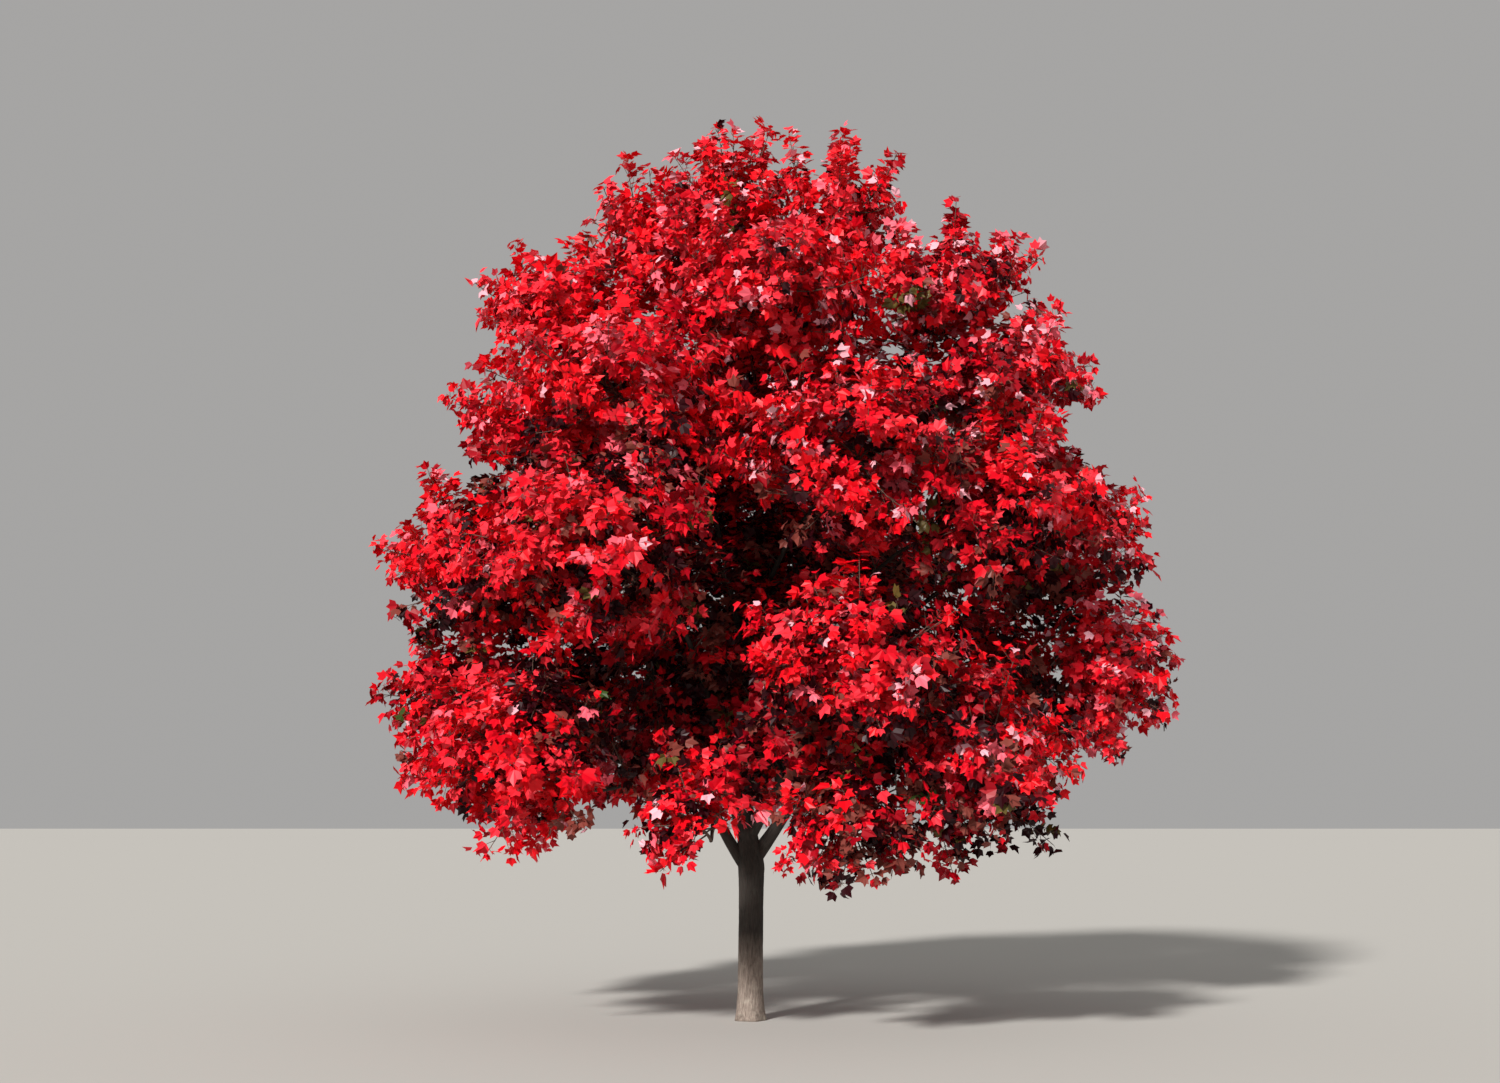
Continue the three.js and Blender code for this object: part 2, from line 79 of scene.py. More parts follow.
# Spaces of the masses, tier by tier from the ground up, as in the solids: bearings in
# degrees, heights of their middles, reaches of their outer ends from the trunk's line,
# and half sizes inward, across and tall, which the scales change from mass to mass
TIERS = [
    {
        "name": "skirt",
        "bearings": [180, 217, 254, 294, 316, 2, 28, 84, 132],
        "heights": [2.20, 1.87, 1.41, 1.41, 1.84, 2.48, 2.46, 2.22, 2.25],
        "reaches": [2.70, 2.58, 1.70, 2.14, 2.74, 3.13, 2.74, 2.70, 2.68],
        "scales": [0.87, 0.86, 0.44, 0.60, 0.92, 0.78, 0.92, 0.92, 0.90],
        "sizes": [0.80, 0.98, 0.86],
    },
    {
        "name": "belt",
        "bearings": [182, 235, 290, 324, 10, 66, 124],
        "heights": [3.25, 3.27, 2.42, 3.57, 3.48, 3.24, 3.38],
        "reaches": [2.70, 2.68, 2.66, 2.74, 3.03, 2.76, 2.76],
        "scales": [0.96, 0.99, 0.80, 0.90, 0.87, 1, 1],
        "sizes": [0.86, 1.10, 0.86],
        "starts": [1.03, 1.42, 1.65, 1.28, 1.11, 1.56, 1.24],
    },
    {
        "name": "shoulder",
        "bearings": [180, 234, 296, 350, 54, 118],
        "heights": [4.23, 4.30, 3.86, 4.52, 4.52, 4.38],
        "reaches": [2.25, 2.38, 2.46, 2.58, 2.44, 2.40],
        "scales": [1, 1, 0.95, 1, 1, 1],
        "sizes": [0.86, 1.10, 0.74],
        "starts": [2.75, 2.48, 2.85, 2.60, 2.35, 2.98],
    },
    {
        "name": "brow",
        "bearings": [190, 276, 345, 80],
        "heights": [5.06, 5.05, 5.18, 5.32],
        "reaches": [2.07, 1.85, 2.23, 1.72],
        "scales": [0.82, 1, 0.94, 1],
        "sizes": [0.86, 1.05, 0.64],
        "starts": [3.95, 3.76, 4.06, 3.60],
    },
    {
        "name": "crest",
        "bearings": [198, 342],
        "heights": [5.57, 5.75],
        "reaches": [1.35, 1.28],
        "scales": [1, 1],
        "sizes": [0.66, 0.76, 0.68],
        "starts": [4.48, 4.64],
    },
]
TOP_CENTRE = (-0.12, 0, 5.90)
TOP_SIZES = (0.64, 0.62, 0.62)
MASS_GAP = 0.004
SEAT_INWARD = 0.9
SEAT_DROP = 0.42
SEAT_SWAY = 0.3
SEAT_DEPTH = 0.8
STEM_REACH = 0.42
STEM_RISE = 0.12
STEM_KNEE = 0.45
TWIG_SWEEP = 0.62
TWIG_PLACES = (0.12, 0.97)
SHOOTS = 10
SHOOT_CAP = 0.4
SHOOT_REACH = 0.985
FIRST_SEED = 107
GOLDEN_ANGLE = np.pi * (3 - np.sqrt(5))

# Rings and relief of the bark: height of the ridges, width of one and length of one
TRUNK_TO_LEADER = (1.02, 1.32)
LEVEL_RINGS = (0.9, 1.5)
TRUNK_SIDES = 128
CLOSE_RINGS = 130
CLOSE_RINGS_END = 1.4
WIDE_RINGS = 110
TRUNK_RELIEF = (0.0022, 0.017, 0.120)
BOUGH_SIDES = 16
BOUGH_RINGS = 44
BOUGH_RELIEF = (0.0012, 0.014, 0.090)
FEWEST_RIDGES = 6
RELIEF_LAYERS = ((1, 0.68), (2, 0.32))
RELIEF_STEEPNESS = 5

# Shoots between those of the solids, and the side twigs, or spurs, on every shoot
STEM_TIP_RADIUS = 0.006
STEM_RINGS = 9
STEM_SIDES = 8
SHOOTS_BETWEEN = 3
SHOOT_SHORTER = (0.66, 0.95)
SHOOT_LIFTS = {
    "skirt": 0.04,
    "belt": -0.08,
    "shoulder": -0.16,
    "brow": -0.22,
    "crest": -0.24,
    "top": -0.18,
}
SHOOT_TILT = 2.2
SHOOT_FACE_OUT = 0.5
SHOOT_RADII = (0.0065, 0.0022)
SHOOT_RINGS = 6
SHOOT_SIDES = 5
SHOOT_END = (0.84, 1.0)
SPUR_FIRST = 0.03
SPUR_SPACING = 0.085
SPUR_COUNT = 12
SPUR_BARE = 0.22
SPUR_ANGLE = 0.90
SPUR_ANGLE_SPREAD = 0.14
SPUR_SWAY = 0.75
SPUR_ROLLS = (-0.1, 0.7)
SPUR_RISE = 0.75
SPUR_RISE_HEIGHTS = (2.6, 5.2)
SPUR_LENGTH = (0.06, 0.52, 0.30)
SPUR_LENGTH_SPREAD = (0.75, 1.15)
SPUR_FULL_SPACE = 0.75
SPUR_SMALLEST = 0.5
SPIRE_NARROWER = 0.3
SPIRE_HEIGHTS = (4.6, 5.8)
SPUR_ARCH = 0.06
SPUR_RADII = (0.0026, 0.0012)
SPUR_SIDES = 3
SPUR_CLEARANCE = 0.02
SPUR_REACH = 0.985
WALL_REACH = 1.08

# A mass's underside, by height from its middle, and its crevices, by share of the way
# to the nearest wall: shares there of the spurs kept, and of the outer tints, whose loss
# there leaves the dark tints as painted shade
UNDERSIDE = (-0.42, -0.04)
UNDERSIDE_OUTER = (-0.25, 0.25)
CREVICE = (0.50, 0.92)
SPURS_KEPT = {
    "skirt": (0.98, 0.94),
    "belt": (0.94, 0.94),
    "shoulder": (0.8, 0.92),
    "brow": (0.9, 0.97),
    "crest": (0.95, 1),
    "top": (0.95, 1),
}
OUTER_TINTS = {
    "skirt": (0.85, 0.25),
    "belt": (0.25, 0.35),
    "shoulder": (0.45, 0.65),
    "brow": (0.7, 0.9),
    "crest": (0.9, 1),
    "top": (0.9, 1),
}
OWN_UNDERSIDES = {"belt_1": 0.9, "belt_2": 0.95, "shoulder_3": 0.95}

# Hollows that face the front: middle, half sizes and share of the spurs left out. The
# leaves round the back of each get the dark tints, as painted shade.
HOLLOWS = [
    ((1.98, -1.55, 3.12), (0.42, 0.58, 0.19), 0.92),
    ((1.12, -2.20, 2.68), (0.21, 0.50, 0.26), 0.88),
    ((1.56, -1.90, 2.21), (0.36, 0.52, 0.17), 0.90),
    ((1.05, -1.80, 1.48), (0.34, 0.60, 0.28), 0.0),
    ((0.19, -1.85, 3.40), (0.22, 0.55, 0.26), 0.80),
    ((-0.98, -1.20, 1.95), (0.26, 0.60, 0.50), 0.15),
]
HOLLOW_SETBACK = 0.35
HOLLOW_SHADE_SIZE = 1.15
HOLLOW_SHADE_FADE = (0.75, 1.25)

# The crown's lower edge in front of the fork: lowest height of a spur's tip, by x
EDGE_PLACES = (-0.70, -0.18, 0.13, 0.22)
EDGE_HEIGHTS = (0.96, 1.37, 1.37, 1.00)

# Leafy shoots inside the crown, along the boughs and the leader
INNER_SPACING = 0.095
LEADER_INNER_SPACING = 0.055
INNER_LENGTH = (0.34, 0.76)
INNER_ANGLE = 1.05
INNER_RISE = 0.25
INNER_ARCH = 0.05
INNER_FACE_ALONG = 0.4
INNER_PLACES = (0.16, 0.97)
LEADER_INNER_PLACES = (0.08, 0.97)
INNER_LOWEST = 1.52
INNER_MIDDLE = np.array([0, 0, 2.2])

# Leaves
LEAF_LENGTH = 0.071
LEAF_SPREAD = 0.20
LEAF_MIDDLE = 0.36
LEAF_BENDS = (
    (0.16, 0.25, 0.0),
    (0.34, 0.40, 0.05),
    (0.10, 0.55, -0.06),
    (0.45, 0.15, 0.0),
    (-0.14, 0.45, 0.08),
)
LEAF_PAIRS = 7
LEAF_SPACING = 0.046
LEAF_SETBACK = 0.35
LEAVES_ALONG = 0.92
LEAVES_KEPT = 0.94
PETIOLE_LENGTH = (0.020, 0.044)
PETIOLE_WIDTH = 0.0030
PETIOLE_AHEAD = 0.75
PETIOLE_RISE = 0.8
PETIOLE_ROLLS = (-0.2, 0.5)
PETIOLE_ROLL_SPREAD = 0.5
PETIOLE_SCATTER = 0.12
LEAF_FACE_UP = 0.45
LEAF_FACE_OUT = 0.75
LEAF_FACE_SCATTER = 0.52
LEAF_DROOP = 0.40

# The leaves' tints: name, colour, share of the sprays outside left, outside right, inside.
# The first five are the reds, from light to dark. The inside shares lean to the dark tints,
# and the right's lean more to deep red and maroon than the left's: painted shade. The
# coral's outside shares, larger at the right, are partly painted sheen.
TINTS = [
    ("scarlet_leaf", "#e20a1a", 0.40, 0.28, 0.05),
    ("bright_red_leaf", "#ea2e3c", 0.24, 0.18, 0.01),
    ("crimson_leaf", "#d2081e", 0.24, 0.22, 0.12),
    ("deep_red_leaf", "#960416", 0.03, 0.10, 0.24),
    ("maroon_leaf", "#280208", 0.0, 0.04, 0.36),
    ("coral_leaf", "#e86070", 0.09, 0.15, 0.0),
    ("rose_leaf", "#e6a6b2", 0.0, 0.01, 0.0),
    ("russet_leaf", "#7a3a32", 0.0, 0.02, 0.22),
    ("olive_leaf", "#5c4e26", 0.0, 0.0, 0.03),
    ("green_leaf", "#34481f", 0.0, 0.0, 0.004),
]
REDS = 5
ROSE = [tint[0] for tint in TINTS].index("rose_leaf")
RIGHT_SIDE = (-1.2, 1.8)
SHOOT_TONES = 0.4
NEIGHBOUR_TINTS = 0.25
# Shares of single leaves outside that show the rose tint, everywhere, more at the right and more
# high up, and the spans where these rise: partly pale undersides of flipped leaves, partly painted
# glints
UNDERSIDE_AND_GLINT_SHARES = (0.015, 0.035, 0.03)
UNDERSIDE_AND_GLINT_RIGHT = (-0.8, 1.4)
UNDERSIDE_AND_GLINT_HIGH = (3.8, 5.4)

# How far outside a spray counts, which deals the dark tints as painted shade: shares and
# heights above and below, radius of the crown and the height where it closes in, and the
# painted shade of the fringe at the lower right
OUTSIDE_HIGH = (0.95, 3.0, 4.4)
OUTSIDE_LOW = (0.6, 1.6, 2.0)
CROWN_RADIUS = 2.6
CROWN_CLOSING = (4, 3)
OUTSIDE_BLEND = (0.6, 0.5)
OUTSIDE_FADE = (0.50, 0.95)
FRINGE_RIGHT = (0.2, 0.8)
FRINGE_LOW = (1.35, 1.85)
FRINGE_SHADE = 0.85

# Studio
FLOOR_HALF = 60
KEY_HEIGHT = 32
KEY_TURN = -27
KEY_WIDTH = 6
CAMERA_PLACE = (0, -16, 1.7)
CAMERA_PITCH = 6.073

UP = np.array([0.0, 0.0, 1.0])
TUBE_SIDE = UP + 0.02 * np.array([1.0, 0.6, 0.0])
rng = np.random.default_rng(47)


# Vectors and curves


def unit(vectors):
    """Vectors divided by their lengths."""
    return vectors / np.linalg.norm(vectors, axis=-1, keepdims=True)


def chance(seed, index):
    """The solids' even, repeatable number from 0 to 1, from the far decimals of a sine."""
    wave = np.sin(seed * 127.1 + index * 311.7 + 74.7) * 43758.5453
    return wave - np.floor(wave)


def smooth_step(values, low=0.0, high=1.0):
    """0 below low, 1 above high, and 3t^2 - 2t^3 between them."""
    t = np.clip((values - low) / (high - low), 0, 1)
    return t * t * (3 - 2 * t)


def bezier(controls, count=120):
    """Points on a Bezier curve: repeated blends of the control points, all places at once."""
    places = np.linspace(0, 1, count)[:, None]
    points = [np.asarray(control, float) * np.ones_like(places) for control in controls]
    while len(points) > 1:
        points = [a + (b - a) * places for a, b in zip(points, points[1:])]
    return points[0]


def spline(controls, count=80):
    """Points on a centripetal Catmull-Rom curve, whose knots are the square roots of the steps."""
    controls = np.asarray(controls, float)
    first = 2 * controls[0] - controls[1]
    last = 2 * controls[-1] - controls[-2]
    padded = np.vstack([first, controls, last])
    knots = np.sqrt(np.linalg.norm(np.diff(padded, axis=0), axis=1))
    t = np.linspace(0, 1, count, endpoint=False)[:, None]
    stretches = []
    for k in range(len(controls) - 1):
        p0, p1, p2, p3 = padded[k:k + 4]
        k0, k1, k2 = knots[k:k + 3]
        leave = ((p1 - p0) / k0 - (p2 - p0) / (k0 + k1) + (p2 - p1) / k1) * k1
        arrive = ((p2 - p1) / k1 - (p3 - p1) / (k1 + k2) + (p3 - p2) / k2) * k1
        square = 3 * (p2 - p1) - 2 * leave - arrive
        cube = 2 * (p1 - p2) + leave + arrive
        stretches.append(p1 + t * leave + t**2 * square + t**3 * cube)
    return np.vstack([*stretches, controls[-1:]])


class Limb:
    """A tapering limb: its centreline, read by share of its length, and its radius there."""

    def __init__(self, name, points, radius_at, side):
        self.name = name
        self.points = np.asarray(points, float)
        steps = np.linalg.norm(np.diff(self.points, axis=0), axis=1)
        run = np.concatenate([[0.0], np.cumsum(steps)])
        self.length = run[-1]
        self.run = run / self.length
        self.radius_at = radius_at
        self.side = np.asarray(side, float)

    def at(self, places):
        """Points at shares of the limb's length, by straight steps between its points."""
        return np.stack([np.interp(places, self.run, self.points[:, k]) for k in range(3)], axis=-1)

    def heading(self, places, step=0.01):
        """The unit direction of the limb, from points a hundredth before and after."""
        return unit(self.at(np.minimum(places + step, 1)) - self.at(np.maximum(places - step, 0)))

    def place_at_height(self, height):
        """The share of the length where the limb reaches a height."""
        return float(np.interp(height, self.points[:, 2], self.run))


def taper(base, tip, collar):
    """Radius that falls from base to tip with the power 0.8 of the place, plus a base collar."""
    def radius_at(places):
        radius = base + (tip - base) * places**TAPER_CURVE
        return radius * (1 + collar * np.exp(-places * COLLAR_FADE))
    return radius_at


# Spaces of the masses


class Space:
    """An ellipsoid with its own outward, sideways and upright axes, cut by flat walls."""

    def __init__(self, name, tier, centre, outward, upright, sizes):
        self.name = name
        self.tier = tier
        self.centre = np.asarray(centre, float)
        self.axes = np.array([outward, np.cross(upright, outward), upright])
        self.sizes = np.asarray(sizes, float)
        self.walls = []

    def size_towards(self, directions):
        """Half size of the ellipsoid along unit directions."""
        return 1 / np.linalg.norm(directions @ self.axes.T / self.sizes, axis=-1)

    def room_towards(self, directions):
        """How far a ray from the centre runs before it meets the ellipsoid or a wall."""
        room = self.size_towards(directions)
        for towards, reach in self.walls:
            approach = directions @ towards
            to_wall = reach / np.maximum(approach, 1e-9)
            room = np.where(approach > 0, np.minimum(room, to_wall), room)
        return room

    def wall_share(self, points):
        """Share of the way out from the centre to the nearest wall, 0 where there is none."""
        share = np.zeros(len(points))
        for towards, reach in self.walls:
            share = np.maximum(share, (points - self.centre) @ towards / reach)
        return share

    def size_share(self, points):
        """Share of the way out from the centre to the ellipsoid."""
        return np.linalg.norm((points - self.centre) @ self.axes.T / self.sizes, axis=-1)

    def depth(self, points):
        """Share of the way out from the centre, 1 on the ellipsoid or on the nearest wall."""
        return np.maximum(self.size_share(points), self.wall_share(points))

    def shares(self, by_tier, points):
        """Two shares at points: one for the space's underside and one for its crevices.

        Each is 1 elsewhere. The first falls to the tier's share, or to the space's own,
        below the middle of the space, and the second near its walls, by smooth steps.
        """
        underside, crevice = by_tier[self.tier]
        underside = OWN_UNDERSIDES.get(self.name, underside)
        low = 1 - smooth_step(points[:, 2] - self.centre[2], *UNDERSIDE)
        near = smooth_step(self.wall_share(points), *CREVICE)
        return 1 - (1 - underside) * low, 1 - (1 - crevice) * near


def make_spaces():
    """The tiers' spaces and the top's, parted by walls that stand nearer to the smaller one."""
    tiers = []
    for tier in TIERS:
        spaces = []
        for i, bearing in enumerate(np.radians(tier["bearings"])):
            outward = np.array([np.cos(bearing), np.sin(bearing), 0])
            sizes = np.array(tier["sizes"]) * tier["scales"][i]
            centre = outward * (tier["reaches"][i] - sizes[0]) + UP * tier["heights"][i]
            name = f"{tier['name']}_{i + 1}"
            spaces.append(Space(name, tier["name"], centre, outward, UP, sizes))
        tiers.append(spaces)
    top = Space("top", "top", TOP_CENTRE, UP, np.array([0.0, -1.0, 0.0]), TOP_SIZES)
    everyone = [space for spaces in tiers for space in spaces] + [top]
    for space in everyone:
        for other in everyone:
            if other is space:
                continue
            towards = other.centre - space.centre
            distance = np.linalg.norm(towards)
            towards = towards / distance
            own = space.size_towards(towards)
            others = other.size_towards(towards)
            if own + others > distance:
                space.walls.append((towards, distance * own / (own + others) - MASS_GAP / 2))
    return tiers, top


# Limbs


def trunk_radius(heights, angles):
    """Trunk radius: even, plus a flare that fades up from the ground and a swell at the fork."""
    flare = np.exp(-heights / FLARE_HEIGHT)
    swell = FORK_SWELL * np.exp(-(((heights - TRUNK_HEIGHT) / FORK_SWELL_HEIGHT) ** 2))
    ridges = 1 + FLARE_RIDGE_DEPTH * flare * np.cos(FLARE_RIDGES * angles)
    return (TRUNK_RADIUS + FLARE_RADIUS * flare + swell) * ridges


def seat_of(space, seed):
    """Where a bough ends: inward and low in its space, with a little sway to one side."""
    sway = (chance(seed, 3) - 0.5) * SEAT_SWAY
    direction = unit(np.array([-SEAT_INWARD, sway, -SEAT_DROP]) @ space.axes)
    return space.centre + direction * space.room_towards(direction) * SEAT_DEPTH


def make_bough(parent, place, parent_radius, space, seed):
    """A bough that climbs out of its parent and flattens towards its seat, on one cubic curve."""
    start = parent.at(place)
    seat = seat_of(space, seed)
    span = np.linalg.norm(seat - start)
    outward = unit((seat - start) * (1, 1, 0))
    leave = unit(outward + UP * BOUGH_LEAVE_RISE)
    arrive = unit(outward + UP * BOUGH_ARRIVE_RISE)
    controls = [start, start + leave * span * BOUGH_BEND, seat - arrive * span * BOUGH_BEND, seat]
    points = bezier(controls)
    length = np.linalg.norm(np.diff(points, axis=0), axis=1).sum()
    base = min(BOUGH_TIP_RADIUS + length * BOUGH_TAPER, parent_radius * BOUGH_SHARE_OF_PARENT)
    side = np.cross(UP, outward)
    bough = Limb(f"bough_{space.name}", points, taper(base, BOUGH_TIP_RADIUS, BOUGH_COLLAR), side)
    bough.space = space
    bough.seed = seed
    return bough


def make_limbs(tiers):
    """The trunk, the leader and the boughs, from the same starts and seeds as the solids."""
    sideways = np.array([1.0, 0.0, 0.0])
    even = lambda places: TRUNK_RADIUS + 0 * places
    trunk = Limb("trunk", [(0, 0, 0), TRUNK_TOP], even, sideways)
    foot = TRUNK_TOP - UP * LEADER_SINK
    leader_radius = taper(LEADER_RADIUS, LEADER_TIP_RADIUS, LEADER_COLLAR)
    leader = Limb("leader", spline([foot, *LEADER_BENDS]), leader_radius, sideways)
    boughs = []
    for tier, spaces in list(zip(TIERS, tiers))[1:]:
        for height, space in zip(tier["starts"], spaces):
            parent = trunk if height < TRUNK_HEIGHT else leader
            place = parent.place_at_height(height)
            seed = FIRST_SEED + len(boughs)
            boughs.append(make_bough(parent, place, parent.radius_at(place), space, seed))
    belt = boughs[:len(tiers[1])]
    forks = [0] * len(belt)
    for space in tiers[0]:
        nearest = int(np.argmax([space.axes[0] @ bough.space.axes[0] for bough in belt]))
        parent = belt[nearest]
        place = FORK_PLACE + FORK_SPACING * forks[nearest]
        forks[nearest] += 1
        seed = FIRST_SEED + len(boughs)
        boughs.append(make_bough(parent, place, parent.radius_at(place), space, seed))
    return trunk, leader, boughs


# Surfaces


class Surface:
    """Triangles with their corners, for one piece: parts are added and then joined in one go."""

    def __init__(self):
        self.corners = []
        self.triangles = []
        self.tints = []
        self.barks = []
        self.count = 0

    def add(self, corners, triangles, tints=None, bark=None):
        """Adds one part: corners (n, 3), triangles (m, 3), a tint number for each triangle."""
        self.corners.append(corners)
        self.triangles.append(triangles + self.count)
        self.tints.append(np.zeros(len(triangles), int) if tints is None else tints)
        if bark is not None:
            self.barks.append(bark)
        self.count += len(corners)

    def piece(self, name, materials, smooth):
        """Makes the mesh object, at the origin, riding on the tree's one body."""
        corners = np.concatenate(self.corners)
        triangles = np.concatenate(self.triangles)
        mesh = bpy.data.meshes.new(name)
        mesh.vertices.add(len(corners))
        mesh.vertices.foreach_set("co", corners.astype(np.float32).ravel())
        mesh.loops.add(triangles.size)
        mesh.loops.foreach_set("vertex_index", triangles.astype(np.int32).ravel())
        mesh.polygons.add(len(triangles))
        mesh.polygons.foreach_set("loop_start", np.arange(0, triangles.size, 3, dtype=np.int32))
        for material in materials:
            mesh.materials.append(material)
        tints = np.concatenate(self.tints).astype(np.int32)
        mesh.polygons.foreach_set("material_index", tints)
        mesh.polygons.foreach_set("use_smooth", np.full(len(triangles), smooth))
        if self.barks:
            along = mesh.attributes.new("along_bark", "FLOAT_VECTOR", "POINT")
            barks = np.concatenate(self.barks).astype(np.float32)
            along.data.foreach_set("vector", barks[:, :3].ravel())
            height = mesh.attributes.new("bark_height", "FLOAT", "POINT")
            height.data.foreach_set("value", np.ascontiguousarray(barks[:, 3]))
        mesh.update(calc_edges=True)
        piece = bpy.data.objects.new(name, mesh)
        bpy.context.scene.collection.objects.link(piece)
        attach(piece, "root")
        return piece


def tube_triangles(rings, sides):
    """Triangles of a closed tube of rings x sides corners, two a square, with a fan on each end."""
    ring, side = np.meshgrid(np.arange(rings - 1), np.arange(sides), indexing="ij")
    a = ring * sides + side
    b = ring * sides + (side + 1) % sides
    squares = np.stack([a, b, b + sides, a, b + sides, a + sides], axis=-1).reshape(-1, 3)
    fan = np.arange(1, sides - 1)
    start = np.stack([np.zeros_like(fan), fan + 1, fan], axis=-1)
    end = np.stack([np.zeros_like(fan), fan, fan + 1], axis=-1) + (rings - 1) * sides
    return np.concatenate([squares, start, end])


def tubes(paths, radii, sides):
    """Many thin tubes at once, as (corners, triangles).

    Each path is a row of points. Round each point a ring stands square to the path: its
    two directions are the cross products of the path's heading with a side vector, which
    is a little off the upright.
    """
    count, rings = radii.shape
    headings = unit(np.gradient(paths, axis=1))
    across = unit(np.cross(headings, TUBE_SIDE))
    over = np.cross(across, headings)
    turn = np.arange(sides) * 2 * np.pi / sides
    ring = across[:, :, None] * np.cos(turn)[:, None] - over[:, :, None] * np.sin(turn)[:, None]
    corners = paths[:, :, None] + ring * radii[:, :, None, None]
    triangles = tube_triangles(rings, sides) + (np.arange(count) * rings * sides)[:, None, None]
    return corners.reshape(-1, 3), triangles.reshape(-1, 3)


def bark_relief(around, along, columns):
    """Height of the bark from 0 in a fissure to 1 on a ridge.

    A lattice of random heights, closed round the limb, is blended by smooth steps both
    ways. The blend is folded at its middle value, so a fissure runs wherever it crosses
    that value. A second lattice, twice as fine, adds a third of the height.
    """
    height = 0
    for scale, share in RELIEF_LAYERS:
        lattice = rng.random((int(along.max() * scale) + 2, columns * scale))
        column = np.floor(around * columns * scale).astype(int)
        row = np.floor(along * scale).astype(int)
        u = smooth_step(around * columns * scale - column)
        v = smooth_step(along * scale - row)
        left = column % (columns * scale)
        right = (column + 1) % (columns * scale)
        low = lattice[row, left] * (1 - u) + lattice[row, right] * u
        high = lattice[row + 1, left] * (1 - u) + lattice[row + 1, right] * u
        blend = low * (1 - v) + high * v
        height = height + share * np.minimum(1, np.abs(blend - 0.5) * RELIEF_STEEPNESS)
    return height


def add_limb(surface, limb, radius_at, sides, rings, relief, upright=False):
    """Adds a limb's bark to a surface: rings carried along its centreline.

    Rings stand square to the limb, but an upright limb's are level as far as the fork.
    relief is (height of the ridges, width of a ridge, length of a ridge) in metres. Each
    corner stands at the limb's radius less the depth of the bark there. The corner's own
    bark coordinates are its place in the ring and its distance along the limb.
    """
    depth, ridge_width, ridge_length = relief
    places = rings if np.ndim(rings) else np.linspace(0, 1, rings)
    middles = limb.at(places)
    headings = limb.heading(places)
    if upright:
        headings = unit(UP + (headings - UP) * smooth_step(middles[:, 2:], *LEVEL_RINGS))
    across = unit(limb.side - (headings @ limb.side)[:, None] * headings)
    over = np.cross(headings, across)
    turn = np.arange(sides) * 2 * np.pi / sides
    distance = np.repeat(places[:, None] * limb.length, sides, axis=1)
    angles = np.repeat(turn[None], len(places), axis=0)
    radius = radius_at(places[:, None], angles)
    columns = max(FEWEST_RIDGES, round(2 * np.pi * float(radius.mean()) / ridge_width))
    height = bark_relief(angles / (2 * np.pi), distance / ridge_length, columns)
    outer = radius - depth * (1 - height)
    cosines, sines = np.cos(turn)[None, :, None], np.sin(turn)[None, :, None]
    ring = across[:, None] * cosines + over[:, None] * sines
    corners = middles[:, None] + ring * outer[:, :, None]
    bark = np.stack([radius * np.cos(angles), radius * np.sin(angles), distance, height], axis=-1)
    surface.add(
        corners.reshape(-1, 3),
        tube_triangles(len(places), sides),
        bark=bark.reshape(-1, 4),
    )


# Materials


def linear(colour):
    """Linear red, green, blue and 1 from an sRGB hex colour, by the sRGB curve."""
    srgb = np.array([int(colour[i:i + 2], 16) for i in (1, 3, 5)]) / 255
    low = srgb / 12.92
    high = ((srgb + 0.055) / 1.055) ** 2.4
    return (*np.where(srgb <= 0.04045, low, high), 1)


def node(tree, kind, links=(), **settings):
    """Adds a shader node: settings are its own values, and links are (input, socket or value)."""
    made = tree.nodes.new(kind)
    for name, value in settings.items():
        setattr(made, name, value)
    for name, source in links:
        if isinstance(source, bpy.types.NodeSocket):
            tree.links.new(source, made.inputs[name])
        else:
            made.inputs[name].default_value = source
    return made


def painted(tree, share, under, over):
    """The colour under, blended with the colour over by a share from 0 to 1."""
    return node(tree, "ShaderNodeMix", [
        ("Factor", share.outputs["Result"]), ("A", under), ("B", linear(over)),
    ], data_type="RGBA").outputs["Result"]


def new_material(name, roughness, ior=1.45):
    """A material with its Principled shader, its node tree and nothing linked yet."""
    material = bpy.data.materials.new(name)
    material.use_nodes = True
    shader = material.node_tree.nodes["Principled BSDF"]
    shader.inputs["Roughness"].default_value = roughness
    shader.inputs["IOR"].default_value = ior
    return material, material.node_tree, shader


def leaf_materials():
    """Autumn maple leaves, one plain tint each: thin, faintly waxy blades with a soft gloss."""
    made = []
    for name, colour, *_ in TINTS:
        material, _, shader = new_material(name, roughness=0.42, ior=1.28)
        shader.inputs["Base Color"].default_value = linear(colour)
        made.append(material)
    return made


def twig_material():
    """Young maple wood: smooth, grey-brown with a touch of red, and dull."""
    material, tree, shader = new_material("young_maple_wood", roughness=0.75)
    shader.inputs["Base Color"].default_value = linear("#5c463c")
    place = node(tree, "ShaderNodeTexCoord").outputs["Object"]
    grain = node(tree, "ShaderNodeTexNoise", [("Vector", place), ("Scale", 220), ("Detail", 3)])
    bump = node(tree, "ShaderNodeBump", [
        ("Height", grain.outputs["Fac"]), ("Strength", 0.3), ("Distance", 0.001),
    ])
    tree.links.new(bump.outputs["Normal"], shader.inputs["Normal"])
    return material


